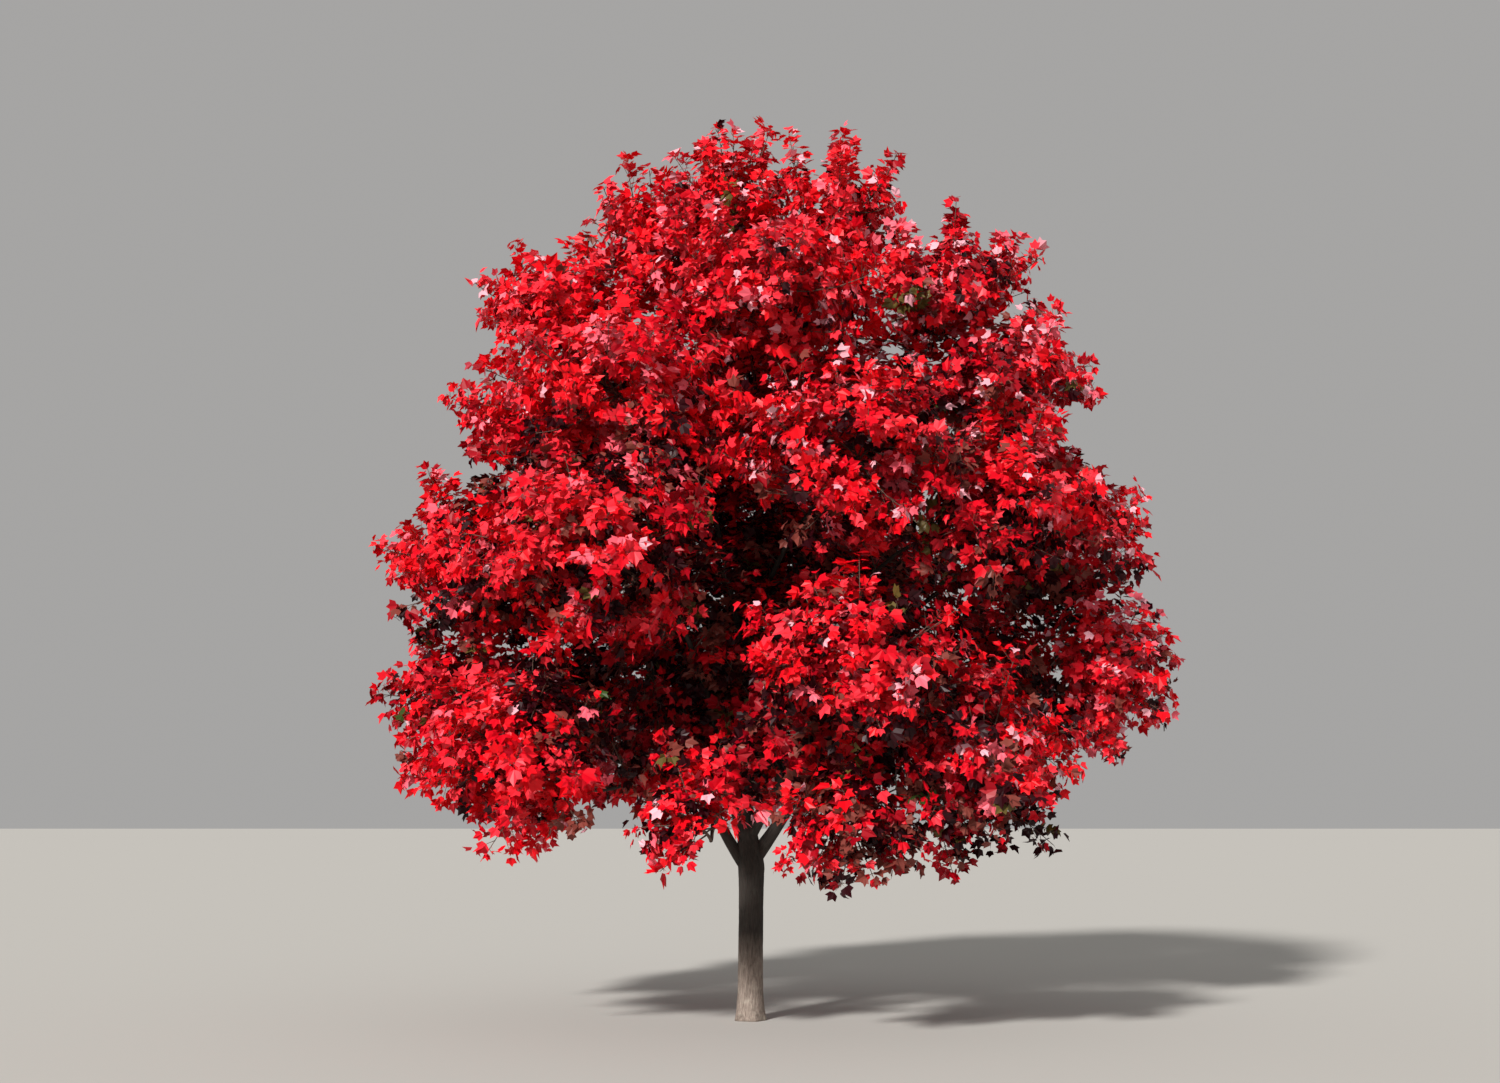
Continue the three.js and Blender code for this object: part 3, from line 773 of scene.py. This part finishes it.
def bark_material():
    """Young maple bark: grey-tan and nearly smooth, with fine upright streaks and some crust.

    The ridges' height is kept at each corner, so the furrows darken where the relief is
    low. Streaks 5 mm wide and 80 mm long, and pale crusts of lichen 70 mm across, are
    drawn on coordinates that follow the limb, so they run up it without a seam. Above
    the pale foot the bark is painted nearly black: painted shade of the crown on the
    trunk and boughs.
    """
    material, tree, shader = new_material("maple_bark", roughness=0.88)
    along = node(tree, "ShaderNodeAttribute", attribute_name="along_bark").outputs["Vector"]
    height = node(tree, "ShaderNodeAttribute", attribute_name="bark_height").outputs["Fac"]
    stretched = node(tree, "ShaderNodeMapping", [("Vector", along), ("Scale", (210, 210, 13))])
    streaks = node(tree, "ShaderNodeTexNoise", [
        ("Vector", stretched.outputs["Vector"]), ("Scale", 1.0), ("Detail", 7), ("Roughness", 0.66),
    ])
    crusts = node(tree, "ShaderNodeTexNoise", [
        ("Vector", along), ("Scale", 14), ("Detail", 6), ("Roughness", 0.65),
    ])
    tone = node(tree, "ShaderNodeMapRange", [
        ("Value", streaks.outputs["Fac"]), ("From Min", 0.34), ("From Max", 0.66),
    ])
    furrow = node(tree, "ShaderNodeMapRange", [
        ("Value", height), ("From Min", 0.0), ("From Max", 0.6), ("To Min", 0.55), ("To Max", 0.0),
    ])
    crust = node(tree, "ShaderNodeMapRange", [
        ("Value", crusts.outputs["Fac"]), ("From Min", 0.54), ("From Max", 0.70), ("To Max", 0.5),
    ])
    streaked = painted(tree, tone, linear("#5d5047"), "#a3958a")
    furrowed = painted(tree, furrow, streaked, "#43382f")
    crusted = painted(tree, crust, furrowed, "#aaa294")
    bump = node(tree, "ShaderNodeBump", [
        ("Height", streaks.outputs["Fac"]), ("Strength", 0.8), ("Distance", 0.002),
    ])
    # Painted shade: above about 0.34 m the bark is blended towards near-black, standing in for the
    # crown's shadow on the trunk and boughs
    place = node(tree, "ShaderNodeTexCoord").outputs["Object"]
    level = node(tree, "ShaderNodeSeparateXYZ", [("Vector", place)]).outputs["Z"]
    crown_shade = node(tree, "ShaderNodeMapRange", [
        ("Value", level), ("From Min", 0.34), ("From Max", 0.62), ("To Max", 0.88),
    ])
    crown_shaded = painted(tree, crown_shade, crusted, "#15120f")
    tree.links.new(crown_shaded, shader.inputs["Base Color"])
    tree.links.new(bump.outputs["Normal"], shader.inputs["Normal"])
    return material


# Twigs and leaves


def shoots_of(space, stem, seed, lift):
    """The mass's shoots, as the control points of their curves and their facings.

    The solids' shoot k looks forward by 1 - 1.4(k + 0.5)/10 and is swung round by k golden
    angles. Here k also takes the thirds between the whole numbers, each swung round by a
    further third of a circle, so every shoot of the solids is among these. Those in
    between end a little short, which leaves the others standing out as plumes.
    """
    index = np.arange(SHOOTS * SHOOTS_BETWEEN)
    between = index % SHOOTS_BETWEEN - 1
    place = (index + 0.5) / SHOOTS_BETWEEN - 0.5
    forward = 1 - (1 + SHOOT_CAP) * (place + 0.5) / SHOOTS
    around = np.sqrt(1 - forward**2)
    turn = place * GOLDEN_ANGLE + seed + between * 2 * np.pi / SHOOTS_BETWEEN
    parts = np.stack([forward, around * np.cos(turn), around * np.sin(turn)], axis=-1)
    directions = unit((parts * space.sizes) @ space.axes)
    shorter = np.where(between == 0, 1, rng.uniform(*SHOOT_SHORTER, len(index)))
    reach = space.room_towards(directions) * SHOOT_REACH * shorter
    targets = space.centre + directions * reach[:, None]
    whole = stem.points[-1] - stem.points[0]
    along = (targets - stem.points[0]) @ whole / (whole @ whole)
    starts = stem.at(np.clip(along * TWIG_SWEEP, *TWIG_PLACES))
    axes = unit(targets - starts)
    tilt = (chance(seed, place) - 0.5) * SHOOT_TILT
    facing = UP * np.cos(tilt)[:, None] + unit(np.cross(axes, UP)) * np.sin(tilt)[:, None]
    return arched(starts, targets, lift), facing + directions * SHOOT_FACE_OUT


def inner_shoots(limb, spacing, span):
    """Shoots from a limb's sides, inside the crown, as control points and facings.

    They stand evenly along the limb, each a golden angle on from the last one, and lean
    out from it by 60 degrees and a little upwards. Those that would end low beside the
    trunk are left out.
    """
    first, last = span
    count = int(limb.length * (last - first) / spacing)
    places = np.linspace(first, last, count)
    starts = limb.at(places)
    headings = limb.heading(places)
    across = unit(np.cross(headings, limb.side))
    over = np.cross(headings, across)
    turn = np.arange(count) * GOLDEN_ANGLE + rng.uniform(0, 2 * np.pi)
    outwards = across * np.cos(turn)[:, None] + over * np.sin(turn)[:, None]
    directions = headings * np.cos(INNER_ANGLE) + outwards * np.sin(INNER_ANGLE)
    directions = unit(directions + UP * INNER_RISE)
    targets = starts + directions * rng.uniform(*INNER_LENGTH, count)[:, None]
    kept = targets[:, 2] > INNER_LOWEST
    starts, targets, directions = starts[kept], targets[kept], directions[kept]
    return arched(starts, targets, INNER_ARCH), unit(UP + INNER_FACE_ALONG * directions)


def arched(starts, targets, lift):
    """Control points of quadratic curves whose middles rise by a share of their length."""
    rise = UP * np.linalg.norm(targets - starts, axis=1)[:, None] * lift
    return starts, (starts + targets) / 2 + rise, targets


def on_arch(controls, places):
    """Points at places (n, k) on quadratic curves with controls (n, 3)."""
    start, middle, end = (control[:, None] for control in controls)
    t = places[:, :, None]
    return start * (1 - t) ** 2 + middle * 2 * t * (1 - t) + end * t**2


def spurs_of(space, controls, facing, limb_points, limb_radii):
    """Side twigs in opposite pairs along each shoot, as arrays of roots, tips and shoots.

    Pairs stand every 85 mm back from the shoot's end, to where its bare base begins. A
    side twig leaves at about 50 degrees, is longer the further back it stands and shorter
    near the crown's top, and rises more the higher it is. It is left out where it would
    leave its space, if there is one, come close to a limb or end below the crown's lower
    edge. Some are left out by chance on undersides, in crevices and in the hollows.
    """
    lengths = np.linalg.norm(controls[2] - controls[0], axis=1)
    back = SPUR_FIRST + SPUR_SPACING * np.arange(SPUR_COUNT)
    places = 1 - back[None] / lengths[:, None]
    keep = places > SPUR_BARE
    places = np.clip(places, 0.02, 1)
    roots = on_arch(controls, places)
    ahead = on_arch(controls, np.minimum(places + 0.02, 1.02))
    heading = unit(ahead - roots)
    swing = unit(np.cross(facing[:, None], heading))
    rise = np.cross(heading, swing)
    shape = (*roots.shape[:2], 2)
    sides = np.array([-1.0, 1.0]) * np.ones(shape)
    even_roll, odd_roll = SPUR_ROLLS
    rolls = np.where(np.arange(SPUR_COUNT) % 2, odd_roll, even_roll)[None, :, None]
    roll = rng.normal(0, SPUR_SWAY, shape) + rolls
    angle = SPUR_ANGLE + rng.normal(0, SPUR_ANGLE_SPREAD, shape)
    first, growth, longest = SPUR_LENGTH
    size = np.minimum(first + growth * back, longest)[None, :, None]
    size = size * rng.uniform(*SPUR_LENGTH_SPREAD, shape)
    if space:
        size = size * np.clip(space.sizes.mean() / SPUR_FULL_SPACE, SPUR_SMALLEST, 1)
    size = size * (1 - SPIRE_NARROWER * smooth_step(roots[:, :, None, 2], *SPIRE_HEIGHTS))
    outwards = swing[:, :, None] * (sides * np.cos(roll))[..., None]
    outwards = outwards + rise[:, :, None] * np.sin(roll)[..., None]
    direction = heading[:, :, None] * np.cos(angle)[..., None]
    direction = direction + outwards * np.sin(angle)[..., None]
    rising = SPUR_RISE * smooth_step(roots[:, :, None, 2:], *SPUR_RISE_HEIGHTS)
    direction = unit(direction + UP * rising)
    tips = roots[:, :, None] + direction * size[..., None]
    keep = (keep[:, :, None] & np.ones(shape, bool)).ravel()
    roots = np.repeat(roots[:, :, None], 2, axis=2).reshape(-1, 3)[keep]
    tips = tips.reshape(-1, 3)[keep]
    shoot = (np.arange(len(facing))[:, None, None] * np.ones(shape, int)).ravel()[keep]
    middles = (roots + 2 * tips) / 3
    gaps = np.linalg.norm(middles[:, None] - limb_points[None], axis=-1) - limb_radii
    chosen = gaps.min(axis=1) > SPUR_CLEARANCE
    if space:
        chosen &= (space.size_share(tips) < SPUR_REACH) & (space.depth(roots) < 1.0)
        chosen &= space.wall_share(tips) < WALL_REACH
        outer = smooth_step((tips - space.centre) @ space.axes[0], *UNDERSIDE_OUTER)
        for kept in space.shares(SPURS_KEPT, tips):
            chosen &= rng.random(len(tips)) > (1 - kept) * outer
    for middle, halves, share in HOLLOWS:
        inside = np.linalg.norm((tips - middle) / halves, axis=1) < 1
        chosen &= ~(inside & (rng.random(len(tips)) < share))
    chosen &= tips[:, 2] > lower_edge(tips)
    return roots[chosen], tips[chosen], shoot[chosen]


def lower_edge(points):
    """The crown's lower edge above points, straight between the named places."""
    return np.interp(points[:, 0], EDGE_PLACES, EDGE_HEIGHTS)


def hollow_shade(points):
    """0 at the back of a hollow and 1 away from them all, by a smooth step of the distance."""
    shade = np.ones(len(points))
    for middle, halves, _ in HOLLOWS:
        back = np.array(middle) - unit(np.array(middle) * (1, 1, 0)) * HOLLOW_SETBACK
        far = np.linalg.norm((points - back) / (np.array(halves) * HOLLOW_SHADE_SIZE), axis=1)
        shade = np.minimum(shade, smooth_step(far, *HOLLOW_SHADE_FADE))
    return shade


def end_spurs(controls):
    """The last stretch of each shoot counts as a side twig of its own, so leaves end it."""
    count = len(controls[0])
    ends = on_arch(controls, np.array([SHOOT_END] * count))
    return ends[:, 0], ends[:, 1], np.arange(count)


def leaf_outlines():
    """The forms of a red maple's leaf, 1 long, each eight points round its outline.

    Half of the outline runs from the stalk over a small low lobe, a long side lobe and a
    notch to the tip, and the other half mirrors it. The halves fold up along the midrib
    like a book, and lobes bend down with the square of their distance from the middle.
    """
    half = np.array([(0.36, 0.10), (0.52, 0.58), (0.23, 0.60)])
    outline = np.vstack([[(0.0, 0.0)], half, [(0.0, 1.0)], (half * (-1, 1))[::-1]])
    x, y = outline.T
    from_middle = np.hypot(x, y - LEAF_MIDDLE)
    forms = []
    for fold, curl, skew in LEAF_BENDS:
        z = fold * np.abs(x) - curl * from_middle**2 + skew * x
        forms.append(np.stack([x, y, z], axis=-1))
    return np.array(forms)


LEAF_FORMS = leaf_outlines()
BLADE = [(0, 1, 3), (1, 2, 3), (0, 3, 4), (0, 4, 5), (0, 5, 7), (5, 6, 7)]
STALK = [(8, 9, 0)]


def leaves_on(surface, roots, tips, middle, tints, outside):
    """Adds opposite pairs of leaves, and one at the end, to each side twig.

    A leaf hangs from a stalk of 20 to 44 mm. Its upper face looks up and out from the
    middle of its mass, scattered at random. It points along its stalk and droops. All the
    leaves of a side twig have its tint, but one red in four takes the red beside it, and
    a few outside, more at the right and high up, take the pale rose tint: partly the pale
    underside of a flipped leaf, partly a painted glint.
    """
    span = np.linalg.norm(tips - roots, axis=1)
    direction = (tips - roots) / span[:, None]
    slots = np.arange(LEAF_PAIRS * 2 + 1)
    rank = (slots + 1) // 2
    back = np.where(slots == 0, 0.0, (rank - LEAF_SETBACK) * LEAF_SPACING)
    side = np.where(slots == 0, 0.0, np.where(slots % 2, 1.0, -1.0))
    keep = back[None] < span[:, None] * LEAVES_ALONG
    keep = keep & (rng.random((len(roots), len(slots))) < LEAVES_KEPT)
    twig, slot = np.nonzero(keep)
    nodes = tips[twig] - direction[twig] * back[slot][:, None]
    count = len(twig)
    swing = unit(np.cross(direction, UP))[twig]
    rise = np.cross(swing, direction[twig])
    even_roll, odd_roll = PETIOLE_ROLLS
    roll = rng.normal(0, PETIOLE_ROLL_SPREAD, count)
    roll = roll + np.where(rank[slot] % 2, odd_roll, even_roll)
    stalk = direction[twig] * PETIOLE_AHEAD + swing * (np.cos(roll) * side[slot])[:, None]
    stalk = stalk + rise * (np.sin(roll) * PETIOLE_RISE)[:, None]
    stalk = unit(stalk + rng.normal(0, PETIOLE_SCATTER, (count, 3)))
    base = nodes + stalk * rng.uniform(*PETIOLE_LENGTH, count)[:, None]
    face = UP * LEAF_FACE_UP + unit(base - middle) * LEAF_FACE_OUT
    face = unit(face + rng.normal(0, LEAF_FACE_SCATTER, (count, 3)))
    along = stalk - UP * LEAF_DROOP
    along = unit(along - (along * face).sum(1)[:, None] * face)
    across = np.cross(along, face)
    size = LEAF_LENGTH * np.exp(rng.normal(0, LEAF_SPREAD, count))
    local = LEAF_FORMS[rng.integers(0, len(LEAF_FORMS), count)] * size[:, None, None]
    blade = base[:, None] + local[:, :, :1] * across[:, None] + local[:, :, 1:2] * along[:, None]
    blade = blade + local[:, :, 2:] * face[:, None]
    edge = across * (PETIOLE_WIDTH / 2)
    corners = np.concatenate([blade, (nodes - edge)[:, None], (nodes + edge)[:, None]], axis=1)
    pattern = np.array(BLADE + STALK)
    triangles = pattern[None] + (np.arange(count) * corners.shape[1])[:, None, None]
    tint = tints[twig]
    beside = (rng.random(count) < NEIGHBOUR_TINTS) & (tint < REDS)
    tint = np.where(beside, np.clip(tint + rng.choice([-1, 1], count), 0, REDS - 1), tint)
    # Rose single leaves on sunlit sprays, more at the right and high up: partly pale undersides,
    # partly painted glints
    everywhere, right, high = UNDERSIDE_AND_GLINT_SHARES
    pale = everywhere + right * smooth_step(nodes[:, 0], *UNDERSIDE_AND_GLINT_RIGHT)
    pale = pale + high * smooth_step(nodes[:, 2], *UNDERSIDE_AND_GLINT_HIGH)
    rose_undersides_and_glints = (rng.random(count) < pale) & (outside[twig] > 0.5)
    tint = np.where(rose_undersides_and_glints, ROSE, tint)
    surface.add(corners.reshape(-1, 3), triangles.reshape(-1, 3), np.repeat(tint, len(pattern)))


def outside_share(space, tips):
    """How far outside each side twig counts, from 0 for shaded to 1 for sunlit.

    It rises high up, low down, and far out in the mass and in the crown, whichever gives
    more. It falls on undersides, in crevices, at the back of the hollows and along the
    low fringe at the right.
    """
    above, *high = OUTSIDE_HIGH
    below, *low = OUTSIDE_LOW
    height = tips[:, 2]
    outside = above * smooth_step(height, *high) + below * (1 - smooth_step(height, *low))
    if space:
        closing, closed = CROWN_CLOSING
        radial = np.hypot(tips[:, 0], tips[:, 1]) / CROWN_RADIUS
        radial = radial + np.maximum(0, height - closing) / closed
        in_mass, in_crown = OUTSIDE_BLEND
        reached = space.depth(tips) * in_mass + radial * in_crown
        outside = np.maximum(outside, smooth_step(reached, *OUTSIDE_FADE))
        for lit in space.shares(OUTER_TINTS, tips):
            outside = outside * lit
    outside = outside * hollow_shade(tips)
    fringe = smooth_step(tips[:, 0], *FRINGE_RIGHT) * (1 - smooth_step(height, *FRINGE_LOW))
    return outside * (1 - FRINGE_SHADE * fringe)


def spray_tints(tips, outside, shoot):
    """A tint for each side twig, drawn by the shares of its place in the crown.

    The shares blend from those inside to those outside, and outside from the left to the
    right, so that shaded sprays, inside and at the right, get the dark tints as painted
    shade, and sunlit ones outside more coral, partly as painted sheen. Four draws in ten
    are the shoot's and not the side twig's own, so that a shoot has a tone.
    """
    left, right, inside = np.array([tint[2:] for tint in TINTS]).T
    sideways = smooth_step(tips[:, 0], *RIGHT_SIDE)[:, None]
    shares = left + (right - left) * sideways
    shares = inside + (shares - inside) * outside[:, None]
    totals = np.cumsum(shares, axis=1) / shares.sum(axis=1, keepdims=True)
    tone = rng.random(shoot.max() + 1)[shoot]
    own = rng.random(len(tips))
    draw = np.where(rng.random(len(tips)) < SHOOT_TONES, tone, own)
    return np.minimum((draw[:, None] > totals).sum(axis=1), len(TINTS) - 1)


def thinning(radii, count, rings):
    """Even places along many twigs alike, and radii even from the first to the last there."""
    first, last = radii
    places = np.linspace(0, 1, rings)[None] * np.ones((count, 1))
    return places, first + (last - first) * places


def grow_sprays(space, middle, controls, facing, others, leaves, twigs):
    """Carries shoots on to their side twigs and leaves."""
    roots, tips, shoot = spurs_of(space, controls, facing, *others)
    places, radii = thinning(SHOOT_RADII, len(facing), SHOOT_RINGS)
    twigs.add(*tubes(on_arch(controls, places), radii, SHOOT_SIDES))
    places, radii = thinning(SPUR_RADII, len(roots), 2)
    twigs.add(*tubes(on_arch(arched(roots, tips, SPUR_ARCH), places), radii, SPUR_SIDES))
    end_roots, end_tips, end_shoot = end_spurs(controls)
    roots = np.vstack([roots, end_roots])
    tips = np.vstack([tips, end_tips])
    shoot = np.concatenate([shoot, end_shoot])
    outside = outside_share(space, tips)
    leaves_on(leaves, roots, tips, middle, spray_tints(tips, outside, shoot), outside)


def grow_mass(space, limb, seed, lift, others, leaves, twigs):
    """One mass: a stem on the limb's tip, its shoots, their side twigs and the leaves.

    The leafy shoots inside the crown, along the limb that bears the mass, join it.
    """
    heading = limb.heading(1.0)
    seat = limb.at(1.0)
    outward, _, upright = space.axes
    end = space.centre + outward * space.sizes[0] * STEM_REACH
    end = end + upright * space.sizes[2] * STEM_RISE
    knee = seat + heading * np.linalg.norm(end - seat) * STEM_KNEE
    stem = Limb(f"stem_{space.name}", bezier([seat, knee, end]), None, outward)
    places, radii = thinning((BOUGH_TIP_RADIUS, STEM_TIP_RADIUS), 1, STEM_RINGS)
    twigs.add(*tubes(stem.at(places), radii, STEM_SIDES))
    controls, facing = shoots_of(space, stem, seed, lift)
    clear = controls[2][:, 2] > lower_edge(controls[2])
    controls, facing = tuple(control[clear] for control in controls), facing[clear]
    grow_sprays(space, space.centre, controls, facing, others, leaves, twigs)
    if limb.name == "leader":
        controls, facing = inner_shoots(limb, LEADER_INNER_SPACING, LEADER_INNER_PLACES)
    else:
        controls, facing = inner_shoots(limb, INNER_SPACING, INNER_PLACES)
    grow_sprays(None, INNER_MIDDLE, controls, facing, others, leaves, twigs)


# The tree


def dress_limbs(trunk, leader, boughs, bark):
    """Bark with its relief: the trunk and leader as one skin, and the boughs as another."""
    foot = leader.points[0]
    below = np.linspace(0, 1, 40, endpoint=False)[:, None] * foot
    whole = Limb("trunk_and_leader", np.vstack([below, leader.points]), None, (1, 0, 0))

    def radius_at(places, angles):
        """The trunk's radius below the fork and the leader's above it, blended between."""
        heights = whole.at(places[:, 0])[:, 2:3]
        blend = smooth_step(heights, *TRUNK_TO_LEADER)
        share = (places * whole.length - np.linalg.norm(foot)) / leader.length
        above = leader.radius_at(np.maximum(share, 0))
        return trunk_radius(heights, angles) * (1 - blend) + above * blend

    near = np.linspace(0, CLOSE_RINGS_END / whole.length, CLOSE_RINGS, endpoint=False)
    far = np.linspace(CLOSE_RINGS_END / whole.length, 1, WIDE_RINGS)
    rings = np.concatenate([near, far])
    skin = Surface()
    add_limb(skin, whole, radius_at, TRUNK_SIDES, rings, TRUNK_RELIEF, upright=True)
    piece = skin.piece("trunk_and_leader_bark", [bark], smooth=True)
    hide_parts("trunk", "leader")

    skin = Surface()
    for bough in boughs:
        round_bough = lambda places, angles, limb=bough: limb.radius_at(places) + 0 * angles
        add_limb(skin, bough, round_bough, BOUGH_SIDES, BOUGH_RINGS, BOUGH_RELIEF)
    piece = skin.piece("bough_bark", [bark], smooth=True)
    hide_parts(*[bough.name for bough in boughs])


def dress_masses(leader, boughs, tiers, top, limbs):
    """Leaves of each mass as one piece, and the twigs of each tier as another."""
    tints = leaf_materials()
    wood = twig_material()
    places = np.linspace(0, 1, 60)
    limb_points = np.vstack([limb.at(places) for limb in limbs])
    limb_radii = np.concatenate([limb.radius_at(places) for limb in limbs])
    others = (limb_points, limb_radii)
    bearers = {bough.space.name: bough for bough in boughs}
    groups = [(tier["name"], spaces) for tier, spaces in zip(TIERS, tiers)] + [("top", [top])]
    for group, spaces in groups:
        twigs = Surface()
        for space in spaces:
            limb = bearers.get(space.name, leader)
            seed = limb.seed if limb is not leader else FIRST_SEED + len(boughs)
            leaves = Surface()
            grow_mass(space, limb, seed, SHOOT_LIFTS[group], others, leaves, twigs)
            piece = leaves.piece(f"leaves_{space.name}", tints, smooth=False)
            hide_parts(f"foliage_{space.name}")
        piece = twigs.piece(f"twigs_{group}", [wood], smooth=True)
        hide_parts(*[f"foliage_{space.name}" for space in spaces])


# Studio


def add_floor():
    """A plain pale floor, level with the cut under the trunk."""
    mesh = bpy.data.meshes.new("floor")
    half = FLOOR_HALF
    corners = [(-half, -half, 0), (half, -half, 0), (half, half, 0), (-half, half, 0)]
    mesh.from_pydata(corners, [], [(0, 1, 2, 3)])
    material, _, shader = new_material("pale_floor", roughness=0.9)
    shader.inputs["Base Color"].default_value = linear("#b9b7b2")
    mesh.materials.append(material)
    floor = bpy.data.objects.new("floor", mesh)
    bpy.context.scene.collection.objects.link(floor)


def add_light():
    """A soft key light from the front left, 32 degrees up, and a pale even fill."""
    key = bpy.data.lights.new("key", "SUN")
    key.energy = 4.6
    key.angle = np.radians(KEY_WIDTH)
    key.color = (1.0, 0.97, 0.94)
    lamp = bpy.data.objects.new("key", key)
    lamp.rotation_euler = (np.radians(90 - KEY_HEIGHT), 0, np.radians(KEY_TURN))
    bpy.context.scene.collection.objects.link(lamp)
    world = bpy.data.worlds.new("studio")
    world.use_nodes = True
    background = world.node_tree.nodes["Background"]
    background.inputs["Color"].default_value = (1.0, 0.985, 0.97, 1)
    background.inputs["Strength"].default_value = 0.38
    bpy.context.scene.world = world
    bpy.context.scene.view_settings.view_transform = "Standard"


def add_camera():
    """At eye height, 16 m in front of the trunk, looking up by 6 degrees, as in the photo."""
    data = bpy.data.cameras.new("camera")
    data.lens = 53.4
    data.sensor_width = 36
    camera = bpy.data.objects.new("camera", data)
    camera.location = CAMERA_PLACE
    camera.rotation_euler = (np.radians(90 + CAMERA_PITCH), 0, 0)
    bpy.context.scene.collection.objects.link(camera)
    bpy.context.scene.camera = camera


def build():
    """The whole scene, in the order in which it is grown."""
    add_camera()
    add_light()
    add_floor()
    tiers, top = make_spaces()
    trunk, leader, boughs = make_limbs(tiers)
    dress_limbs(trunk, leader, boughs, bark_material())
    dress_masses(leader, boughs, tiers, top, [trunk, leader, *boughs])


build()
bpy.context.view_layer.update()
